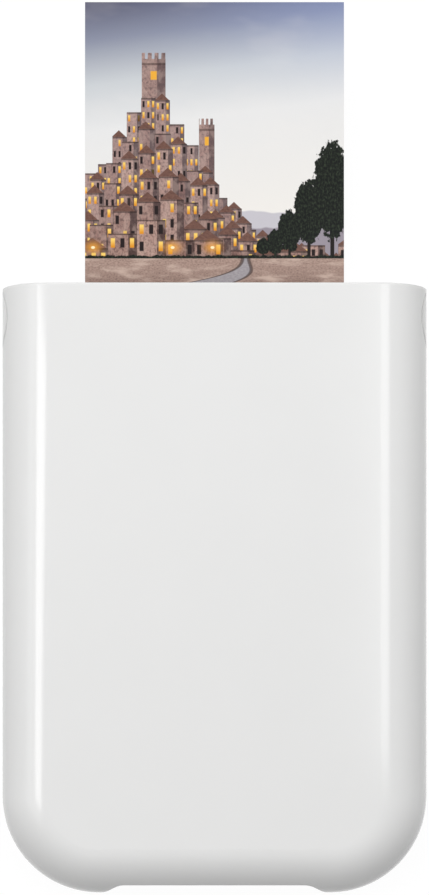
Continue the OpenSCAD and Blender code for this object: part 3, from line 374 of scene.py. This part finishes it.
def sky(g, u, v):
    """Clear dusk sky, darkest at the top left and bluest at the top right."""
    tilt, steepness, blueness, cloudiness = 0.093, 1.43, 0.28, 0.10
    height = g.line(u, -tilt, v)
    tone = g.ramp(g.line(height, steepness, 1 - steepness), SKY)
    blue = g.times(g.rise(v, 0.70, 1.0), g.rise(u, 0.1, 1.1))
    tone = g.mix(g.times(blue, blueness), tone, INKS["blue_sky"])
    cloud = g.rise(grain(g, count=2.2, seed=4.0, flat=3.5), 0.50, 0.72)
    return g.mix(g.times(cloud, cloudiness), tone, INKS["cloud"])


def hills(g, picture, v):
    """Ranges of hills below their uneven skylines."""
    for height, swing, count, seed, ink in RANGES:
        skyline = g.around(grain(g, count, seed, flat=0.0), height, swing)
        inside = g.rise(g.less(skyline, v), -0.002, 0.003)
        picture = g.mix(inside, picture, INKS[ink])
    return picture


def town_hill(g, u):
    """How high the town's hill is: 0 at its foot, and about 0.8 at its top."""
    left = g.line(u, -1 / HILL_LEFT, HILL_TOP / HILL_LEFT)
    right = g.line(u, 1 / HILL_RIGHT, -HILL_TOP / HILL_RIGHT)
    away = g.math("MAXIMUM", left, right)
    foot, beyond_top, hollow = 1.0, -0.35, 1.25
    return g.math("POWER", g.rise(away, foot, beyond_top), hollow)


class Masonry:
    """Weathering that all the walls and roofs of the town share."""

    def __init__(self, g):
        self.g = g
        self.dirt = g.times(g.rise(grain(g, count=120.0, seed=2.0), 0.38, 0.72), 0.75)
        self.patch = g.times(g.rise(grain(g, count=30.0, seed=5.0), 0.42, 0.62), 0.3)
        self.tiles = g.mix(grain(g, count=90.0, seed=7.0, flat=2.0),
                           INKS["dark_tile"], INKS["pale_tile"])

    def stone(self, tone, haze):
        """Weathered wall of the given tone, paler as haze goes from 0 to 1."""
        tone = self.g.mix(self.dirt, tone, INKS["dirt"])
        tone = self.g.mix(self.patch, tone, INKS["lime"])
        return self.g.mix(haze, tone, INKS["haze"])


def tower_face(g, off, side, v, top, half, masonry):
    """Colour of a tower, off from its middle: a shaded side, a dark belt and one lit window."""
    belt_down, window_down = 0.030, 0.060
    shaded = g.rise(side, 0.2 * half, 0.35 * half)
    tone = g.mix(shaded, INKS["sunny_tower"], INKS["shaded_tower"])
    tone = masonry.stone(tone, haze=0.12)
    belt = g.near(v, top - belt_down, far=0.004, close=0.002)
    tone = g.mix(g.times(belt, 0.6), tone, INKS["belt"])
    window = g.times(g.rise(off, 0.30 * half, 0.22 * half),
                     g.near(v, top - window_down, far=0.013, close=0.010))
    return g.mix(window, tone, INKS["tower_light"])


def towers(g, picture, u, v, masonry):
    """Square towers with battlements."""
    teeth_across_half, tooth_start, tooth_h, soft = 1.75, 0.2, 0.016, 0.001
    for centre, half, top in TOWERS:
        off, side = g.apart(u, centre), g.less(u, centre)
        teeth = g.math("FRACT", g.line(u, teeth_across_half / half, tooth_start))
        height = g.line(g.rise(teeth, 0.38, 0.44), tooth_h, top - tooth_h)
        inside = g.times(g.rise(off, half + soft, half - soft), g.below(v, height, soft))
        picture = g.mix(inside, picture, tower_face(g, off, side, v, top, half, masonry))
    return picture


def windows(g, tone, across, under, cell, depth):
    """Windows in rows under the eaves: about half of them lit, a quarter dark, a quarter left out."""
    storeys, columns = 34.0 - 12.0 * depth, 3.0
    down, along = g.times(under, storeys), g.times(across, columns)
    storey, column = g.math("FLOOR", down), g.math("FLOOR", along)
    luck = chance(g, g.line(cell, 7.13, g.line(storey, 3.7, column)))
    x, y = g.math("FRACT", along), g.math("FRACT", down)
    inside = g.times(g.near(x, 0.5, far=0.26, close=0.18), g.near(y, 0.55, far=0.32, close=0.24))
    glow = g.mix(g.rise(y, 0.25, 0.85), INKS["pane_head"], INKS["pane_foot"])
    pane = g.mix(g.rise(luck, 0.50, 0.52), INKS["unlit_pane"], glow)
    inside = g.times(inside, g.rise(luck, 0.22, 0.24))
    under_eave = g.rise(storey, -0.6, -0.4)
    return g.mix(g.times(inside, under_eave), tone, pane)


def wall(g, across, under, luck, cell, depth, masonry):
    """Front and shaded side of a house; under says how far below its eaves a point is."""
    corner_at = 0.70
    tone = g.mix(luck, INKS["dark_wall"], INKS["pale_wall"])
    tone = g.mix(g.below(corner_at, across, soft=0.01), tone, INKS["shaded_wall"])
    tone = masonry.stone(tone, haze=0.18 * (1 - depth))
    return windows(g, tone, across, under, cell, depth)


def roof(g, across, cell, depth):
    """How far the roof stands above the eaves; two houses in five have a flat one."""
    slope, ridge_at, other_draw = 0.036 + 0.02 * depth, 0.45, 57.0
    gable = g.times(g.less(0.5, g.apart(across, ridge_at)), slope)
    pitched = g.rise(chance(g, g.plus(cell, other_draw)), 0.40, 0.41)
    return g.times(g.math("MAXIMUM", gable, 0.0), pitched)


def houses(g, picture, u, v, masonry, terrace, depth):
    """One terrace of plain houses; depth goes from 0 at the back to 1 at the front."""
    count, seed, lift = terrace
    street_down, wall_h = 0.035, 0.035 + 0.03 * depth
    place = g.line(u, count, seed)
    cell, across = g.math("FLOOR", place), g.math("FRACT", place)
    luck = chance(g, cell)
    centre = g.line(cell, 1 / count, (0.5 - seed) / count)
    street = g.line(town_hill(g, centre), lift, STREET_V - street_down)
    eave = g.line(luck, wall_h, street)
    top = g.plus(eave, roof(g, across, cell, depth))
    under = g.less(eave, v)
    tone = wall(g, across, under, luck, cell, depth, masonry)
    tone = g.mix(g.below(eave, v), tone, masonry.tiles)
    shadow = g.near(under, 0.002, far=0.003, close=0.001)
    tone = g.mix(g.times(shadow, 0.7), tone, INKS["eave"])
    gap = g.rise(g.apart(across, 0.5), 0.485, 0.497)
    tone = g.mix(g.times(gap, 0.6), tone, INKS["gap"])
    return g.mix(g.below(v, top), picture, tone)


def street_lamps(g, picture, u, v):
    """Warm light of the street lamps at the foot of the town."""
    count, start, lamp_up = 6.5, 0.3, 0.012
    place = g.line(u, count, start)
    off = g.times(g.less(g.math("FRACT", place), 0.5), 0.5)
    up = g.times(g.less(v, STREET_V + lamp_up), count)
    far = g.math("SQRT", g.plus(g.times(off, off), g.times(up, up)))
    burns = g.rise(chance(g, g.math("FLOOR", place)), 0.30, 0.32)
    where = g.times(g.rise(u, 0.74, 0.64), burns)
    halo = g.times(g.math("POWER", g.rise(far, 0.22, 0.0), 2.0), where)
    picture = g.mix(g.times(halo, 0.75), picture, INKS["lamp_halo"])
    core = g.times(g.rise(far, 0.030, 0.018), where)
    return g.mix(core, picture, INKS["lamp_core"])


def trees(g, picture, u, v):
    """Round-topped trees on the right, and a low hedge that runs the whole way across."""
    trunk_share, hedge_h = 0.09, 0.020
    ragged = g.around(grain(g, count=60.0, seed=2.0), 0.0, swing=0.65)
    foliage = g.mix(g.rise(grain(g, count=130.0, seed=9.0), 0.40, 0.80),
                    INKS["dark_leaf"], INKS["pale_leaf"])
    for centre_u, centre_v, half_w, half_h in CROWNS:
        half = trunk_share * half_w
        trunk = g.near(u, centre_u, far=half + 0.002, close=half)
        trunk = g.times(trunk, g.rise(v, centre_v, centre_v - 0.01))
        picture = g.mix(trunk, picture, INKS["trunk"])
        x = g.line(u, 1 / half_w, -centre_u / half_w)
        y = g.line(v, 1 / half_h, -centre_v / half_h)
        reach = g.plus(g.plus(g.times(x, x), g.times(y, y)), ragged)
        picture = g.mix(g.rise(reach, 1.04, 0.92), picture, foliage)
    top = g.line(grain(g, count=30.0, seed=3.0, flat=0.0), hedge_h, GROUND_V - 0.002)
    return g.mix(g.rise(g.less(top, v), -0.001, 0.002), picture, foliage)


def path(g, sand, u, near):
    """Pale path with dark kerbs, which narrows and bends away over the sand."""
    half_w = g.line(near, 0.13, 0.012)
    off = g.apart(u, g.line(g.times(near, near), -0.42, 0.62))
    paving = g.mix(grain(g, count=90.0, seed=6.0, flat=3.0),
                   INKS["dark_paving"], INKS["pale_paving"])
    sand = g.mix(g.below(off, half_w, soft=0.004), sand, paving)
    kerb = g.near(half_w, off, far=0.010, close=0.004)
    return g.mix(g.times(kerb, 0.8), sand, INKS["kerb"])


def ground(g, picture, u, v):
    """Open sandy ground; near goes from 0 at its far edge to 1 low in the picture."""
    near = g.rise(v, GROUND_V, 0.20)
    sand = g.mix(near, INKS["far_sand"], INKS["near_sand"])
    grit = g.rise(grain(g, count=120.0, seed=5.0, flat=3.0), 0.30, 0.95)
    drift = g.rise(grain(g, count=8.0, seed=8.0, flat=5.0), 0.45, 0.75)
    sand = g.mix(drift, g.mix(grit, sand, INKS["dark_sand"]), INKS["pale_sand"])
    return g.mix(g.below(v, GROUND_V), picture, path(g, sand, u, near))


def picture_sheet(name):
    """Glossy print: the invented hill town on the face, bare paper elsewhere."""
    g = Surface(name)
    u = g.along(0, SHEET_LOW.x, SHEET_W)
    v = g.along(1, SHEET_LOW.y, SHEET_L)
    picture = hills(g, sky(g, u, v), v)
    masonry = Masonry(g)
    picture = towers(g, picture, u, v, masonry)
    for k, terrace in enumerate(TERRACES):
        picture = houses(g, picture, u, v, masonry, terrace, depth=k / (len(TERRACES) - 1))
    picture = street_lamps(g, picture, u, v)
    picture = trees(g, picture, u, v)
    picture = ground(g, picture, u, v)
    up = g.node("SeparateXYZ", Vector=g.coord["Normal"]).outputs[2]
    tone = g.mix(g.rise(up, 0.5, 0.6), INKS["bare_paper"], picture)
    fine = g.noise(size=0.4 * MM, detail=3.0)
    return g.shade(Base_Color=tone, Roughness=0.3, Specular_IOR_Level=0.12,
                   Normal=g.bump(fine, depth=0.001 * MM))


# ------------------------------------------------------------------ materials by slot

# Stretches of the lines in brushed metal
ALONG_X, ALONG_Y, ROUND_X = (60, 1, 1), (1, 60, 1), (1, 60, 60)

# The kind of surface of each slot, and that kind's values
SLOTS = {
    "cover_white": (moulded, {"colour": (0.82, 0.82, 0.815), "rough": 0.11, "edge": 0.6 * MM}),
    "case_white": (moulded, {"colour": (0.81, 0.81, 0.805), "rough": 0.15, "edge": 0.4 * MM}),
    "button_white": (moulded, {"colour": (0.74, 0.74, 0.735), "rough": 0.2}),
    "light_pipe": (light_guide, {"colour": (0.85, 0.88, 0.9)}),
    "bezel_grey": (moulded, {"colour": (0.141, 0.141, 0.147), "rough": 0.42,
                             "depth": 0.006 * MM}),
    "tray_grey": (moulded, {"colour": (0.42, 0.43, 0.44), "rough": 0.48, "depth": 0.008 * MM}),
    "guide_black": (moulded, {"colour": (0.022, 0.022, 0.024), "rough": 0.45,
                              "depth": 0.006 * MM}),
    "gear_white": (moulded, {"colour": (0.78, 0.77, 0.72), "rough": 0.36, "edge": 0.06 * MM}),
    "bush_ivory": (moulded, {"colour": (0.72, 0.66, 0.5), "rough": 0.4, "edge": 0.08 * MM}),
    "pinch_grey": (moulded, {"colour": (0.5, 0.5, 0.5), "rough": 0.4, "edge": 0.08 * MM}),
    "connector_ivory": (moulded, {"colour": (0.7, 0.65, 0.52), "rough": 0.42,
                                  "edge": 0.08 * MM}),
    "sheet_steel": (brushed, {"colour": (0.6, 0.6, 0.61), "rough": 0.34, "stretch": ALONG_Y}),
    "shaft_steel": (brushed, {"colour": (0.68, 0.68, 0.69), "rough": 0.2, "stretch": ROUND_X}),
    "screw_steel": (brushed, {"colour": (0.5, 0.5, 0.52), "rough": 0.3}),
    "magnet_nickel": (brushed, {"colour": (0.62, 0.6, 0.56), "rough": 0.16}),
    "sink_aluminium": (brushed, {"colour": (0.66, 0.67, 0.68), "rough": 0.4,
                                 "stretch": ALONG_X}),
    "motor_can": (brushed, {"colour": (0.58, 0.58, 0.6), "rough": 0.26, "stretch": ALONG_X}),
    "brass_drive": (brushed, {"colour": (0.7, 0.5, 0.2), "rough": 0.28, "stretch": ALONG_X}),
    "spring_steel": (steel_coil, {"colour": (0.46, 0.46, 0.47)}),
    "roller_rubber": (rubber, {"colour": (0.022, 0.023, 0.025), "rough": 0.72}),
    "pad_rubber": (rubber, {"colour": (0.13, 0.06, 0.03), "rough": 0.8}),
    "head_ceramic": (moulded, {"colour": (0.62, 0.58, 0.5), "rough": 0.22, "edge": 0.05 * MM}),
    "battery_wrap": (foil, {"colour": (0.12, 0.2, 0.33)}),
    "board_green": (board, {"mask": (0.006, 0.075, 0.032), "track": (0.012, 0.13, 0.055),
                            "plating": (0.75, 0.62, 0.3)}),
    "chip_black": (chip, {"colour": (0.014, 0.014, 0.016)}),
    # The paper's second colour is painted shade between the sheets
    "paper_white": (paper, {"face": (0.86, 0.86, 0.84), "seam": (0.42, 0.42, 0.41)}),
    "picture_sheet": (picture_sheet, {}),
}


def dress():
    """Gives every CAD node the material of its record slot."""
    made = {name: kind(name, **values) for name, (kind, values) in SLOTS.items()}
    for node in NODES.values():
        for slot in node.material_slots:
            name = slot.material.name.split(".")[0]
            slot.material = made[name]


# ------------------------------------------------------------------ copies of the springs

def giving_spring(node, body):
    """Puts a copy in a node's place on the given body, and hides the node."""
    spring = bpy.data.objects.new(node + "_giving", NODES[node].data.copy())
    bpy.context.scene.collection.objects.link(spring)
    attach(spring, body)
    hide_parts(node)
    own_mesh(spring)


def springs():
    """Puts copies of the print head's springs on the case, and of the pressure plate's on the cover.
    """
    giving_spring("head_springs", "case")
    giving_spring("pressure_springs", "cover")


# ------------------------------------------------------------------ floor, light and camera

FLOOR_SIZE = 6.0
FLOOR_GAP = 0.02 * MM
FLOOR_TONE = (0.55, 0.55, 0.55)
# Share of the floor's own white in what is seen of it; the lamps' light and the shadow are the rest
FLOOR_WHITE = 0.86
# Strength of that white near the printer, and far from it where the lamps no longer reach
FLOOR_NEAR, FLOOR_FAR = 1.10, 1.165
# Distances from the middle between which it rises
FLOOR_RISE = (0.3, 1.5)
# Strength of the light from all round
WORLD_LIGHT = 0.10


def seen(g):
    """1 for rays that the camera, a reflection or a clear piece sends, and 0 for the others."""
    ray = g.node("LightPath").outputs
    either = g.math("MAXIMUM", ray["Is Camera Ray"], ray["Is Glossy Ray"])
    return g.math("MAXIMUM", either, ray["Is Transmission Ray"])


def floor_material():
    """Matt floor under an even white, which grows stronger away from the printer."""
    g = Surface("studio_floor")
    matt = g.node("BsdfDiffuse", Color=FLOOR_TONE)
    away = g.node("VectorMath", {"operation": "LENGTH"}, Vector=g.coord["Object"])
    share = g.rise(away.outputs["Value"], *FLOOR_RISE)
    white = g.node("Emission", Color=(1, 1, 1),
                   Strength=g.line(share, FLOOR_FAR - FLOOR_NEAR, FLOOR_NEAR))
    both = g.node("MixShader")
    parts = (g.times(seen(g), FLOOR_WHITE), matt.outputs[0], white.outputs[0])
    for socket, part in zip(both.inputs, parts):
        g.put(socket, part)
    g.end(both)
    return g.material


def floor():
    """Plain pale floor that keeps the object's shadow under a white backdrop."""
    half = FLOOR_SIZE / 2
    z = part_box("bottom_case")[0].z - FLOOR_GAP
    mesh = bpy.data.meshes.new("studio_floor")
    mesh.from_pydata([(-half, -half, z), (half, -half, z), (half, half, z), (-half, half, z)],
                     [], [(0, 1, 2, 3)])
    mesh.materials.append(floor_material())
    plane = bpy.data.objects.new("studio_floor", mesh)
    bpy.context.scene.collection.objects.link(plane)


def world():
    """Even light from all round, seen as white by the camera and in reflections."""
    studio = bpy.data.worlds.new("studio")
    g = Graph(studio, "OutputWorld")
    strength = g.line(seen(g), 1 - WORLD_LIGHT, WORLD_LIGHT)
    g.end(g.node("Background", Color=(1, 1, 1), Strength=strength))
    bpy.context.scene.world = studio


# The point that the lamps face
AIM = Vector((0, 0, 15 * MM))
# Soft boxes: name, middles of the head end and the tail end in metres, width, brightness, and
# whether glossy surfaces mirror it, where the others give plain light alone
LAMPS = (
    ("head_box", (0, 1.10, 0.25), (0, 0.80, 0.95), 1.20, 2.55, False),
    ("overhead", (0, 0.58, 0.95), (0, -0.02, 0.95), 0.80, 1.40, False),
    ("left_fill", (-0.85, 0.40, 0.45), (-0.85, -0.10, 0.45), 0.50, 0.85, False),
    ("right_fill", (0.85, 0.40, 0.45), (0.85, -0.10, 0.45), 0.50, 1.25, False),
    ("left_soft", (-0.40, 0.30, 0.70), (-0.70, -0.30, 0.70), 0.50, 1.0, True),
    ("left_strip", (-0.275, 0.170, 0.66), (-0.375, -0.155, 0.66), 0.20, 3.7, True),
    ("right_strip", (0.238, 0.30, 0.80), (0.238, -0.12, 0.80), 0.26, 3.0, True),
)


def facing(head, tail):
    """Place and turn of a soft box that reaches from head to tail and faces the aim."""
    middle = (head + tail) / 2
    long_way = (head - tail).normalized()
    back = middle - AIM
    back = (back - long_way * back.dot(long_way)).normalized()
    turn = Matrix((long_way.cross(back), long_way, back)).transposed()
    return Matrix.Translation(middle) @ turn.to_4x4()


def lamps():
    """Soft boxes round the printer, as bright all over as the table says."""
    for name, head, tail, width, brightness, mirrored in LAMPS:
        head, tail = Vector(head), Vector(tail)
        data = bpy.data.lights.new(name, "AREA")
        data.shape = "RECTANGLE"
        data.size, data.size_y = width, (head - tail).length
        data.energy = brightness * math.pi * data.size * data.size_y
        lamp = bpy.data.objects.new(name, data)
        lamp.matrix_world = facing(head, tail)
        lamp.visible_glossy = mirrored
        bpy.context.scene.collection.objects.link(lamp)


# The camera looks straight down from here
CAMERA_PLACE = (0, 0.9 * MM, 355 * MM)
# The photograph's height, and the row from its top of the point below the camera, in pixels
PHOTO_H, CAMERA_ROW = 895, 587
# The lens's focal length, in the photograph's pixels
FOCAL = 1700
# The sensor's longer side, in millimetres
SENSOR = 36
CLIP_START = 10 * MM


def camera():
    """The photograph's camera; the picture's longer side is its height."""
    data = bpy.data.cameras.new("camera")
    data.sensor_fit = "AUTO"
    data.sensor_width = SENSOR
    data.lens = FOCAL / PHOTO_H * SENSOR
    data.shift_y = (CAMERA_ROW - PHOTO_H / 2) / PHOTO_H
    data.clip_start = CLIP_START
    view = bpy.data.objects.new("camera", data)
    view.location = CAMERA_PLACE
    bpy.context.scene.collection.objects.link(view)
    bpy.context.scene.camera = view


def main():
    dress()
    springs()
    floor()
    world()
    lamps()
    camera()
    bpy.context.scene.view_settings.view_transform = "Standard"


main()
